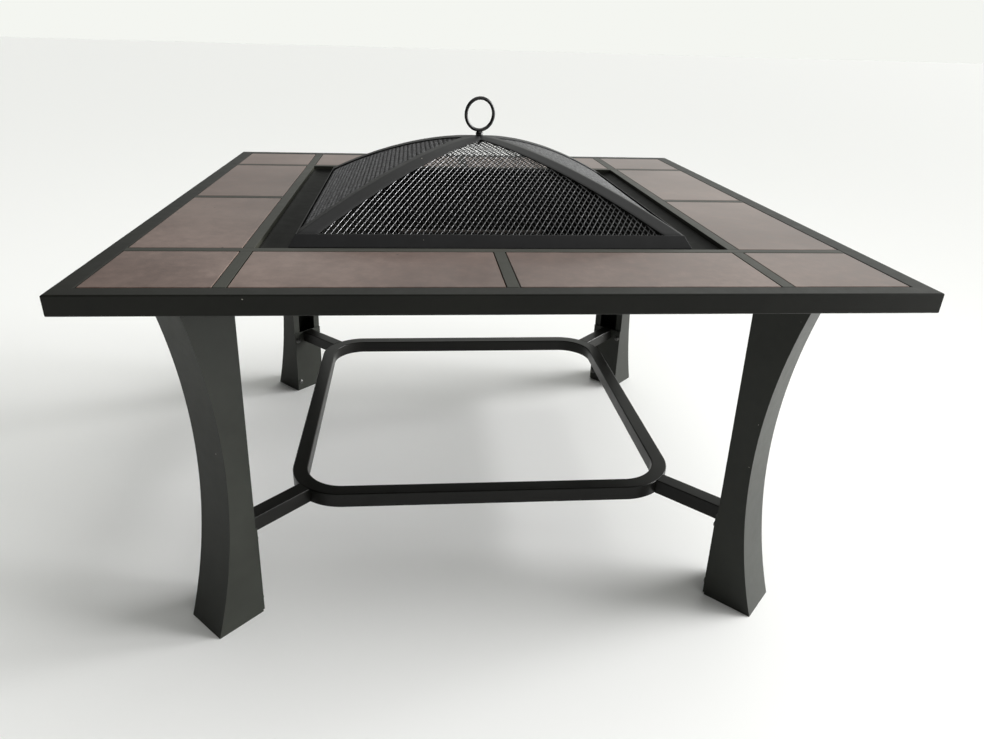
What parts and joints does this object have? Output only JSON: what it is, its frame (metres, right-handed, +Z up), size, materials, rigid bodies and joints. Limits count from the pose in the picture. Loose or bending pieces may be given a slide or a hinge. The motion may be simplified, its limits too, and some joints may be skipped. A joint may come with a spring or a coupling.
{
  "type": "fire pit table",
  "caption": "Square tiled fire pit table on bowed legs with a ring stretcher, a lift-out bowl with log grate and a domed mesh spark screen with a lift ring.",
  "frame": {"origin": "on the floor under the middle of the table top, at the bottom centre of the whole object", "axes": "+Z up, +X to the right and -Y towards the front of the table; the table's sides run along X and Y"},
  "size_m": [0.813, 0.813, 0.5755],
  "materials": {
    "frame_steel": "charcoal powder coat, semi-matt",
    "tile": "glossy brown mottled glaze",
    "bowl": "black heat-resistant paint, satin",
    "grate": "black bare iron, matt",
    "screen_steel": "black heat-resistant paint, semi-matt",
    "mesh": "black painted expanded mesh",
    "ring_steel": "gloss black paint",
    "fixings": "zinc-plated"
  },
  "bodies": {
    "table": {"frame_rail_front": "frame_steel", "frame_rail_right": "frame_steel", "frame_rail_back": "frame_steel", "frame_rail_left": "frame_steel", "cross_bar_front": "frame_steel", "cross_bar_back": "frame_steel", "side_bar_left": "frame_steel", "side_bar_right": "frame_steel", "tile_dividers": "frame_steel", "tile_tray_front": "frame_steel", "tile_tray_back": "frame_steel", "tile_tray_left": "frame_steel", "tile_tray_right": "frame_steel", "tile_corner_front_left": "tile", "tile_front_left": "tile", "tile_front_right": "tile", "tile_corner_front_right": "tile", "tile_right_front": "tile", "tile_right_back": "tile", "tile_corner_back_right": "tile", "tile_back_right": "tile", "tile_back_left": "tile", "tile_corner_back_left": "tile", "tile_left_back": "tile", "tile_left_front": "tile", "leg_front_left": "frame_steel", "leg_front_right": "frame_steel", "leg_back_right": "frame_steel", "leg_back_left": "frame_steel", "corner_plate_front_left": "frame_steel", "corner_plate_front_right": "frame_steel", "corner_plate_back_right": "frame_steel", "corner_plate_back_left": "frame_steel", "leg_bolts": "fixings", "foot_plate_front_left": "frame_steel", "foot_plate_front_right": "frame_steel", "foot_plate_back_right": "frame_steel", "foot_plate_back_left": "frame_steel", "foot_plate_screws": "fixings", "spoke_front_left": "frame_steel", "spoke_front_right": "frame_steel", "spoke_back_right": "frame_steel", "spoke_back_left": "frame_steel", "ring_half_front": "frame_steel", "ring_half_back": "frame_steel", "ring_joiners": "fixings"},
    "bowl": {"fire_bowl": "bowl"},
    "screen": {"screen_base": "screen_steel", "rib_front_left": "screen_steel", "rib_front_right": "screen_steel", "rib_back_right": "screen_steel", "rib_back_left": "screen_steel", "mesh_panel_front": "mesh", "mesh_panel_right": "mesh", "mesh_panel_back": "mesh", "mesh_panel_left": "mesh", "lift_ring": "ring_steel", "ring_nut": "ring_steel"},
    "grate": {"log_grate": "grate"}
  },
  "joints": [
    {"name": "bowl_lift", "type": "slide", "parent": "table", "child": "bowl", "axis": [0, 0, 1], "range_m": [0, 0.2]},
    {"name": "screen_lift", "type": "slide", "parent": "bowl", "child": "screen", "axis": [0, 0, 1], "range_m": [0, 0.3]},
    {"name": "grate_lift", "type": "slide", "parent": "bowl", "child": "grate", "axis": [0, 0, 1], "range_m": [0, 0.08]}
  ]
}
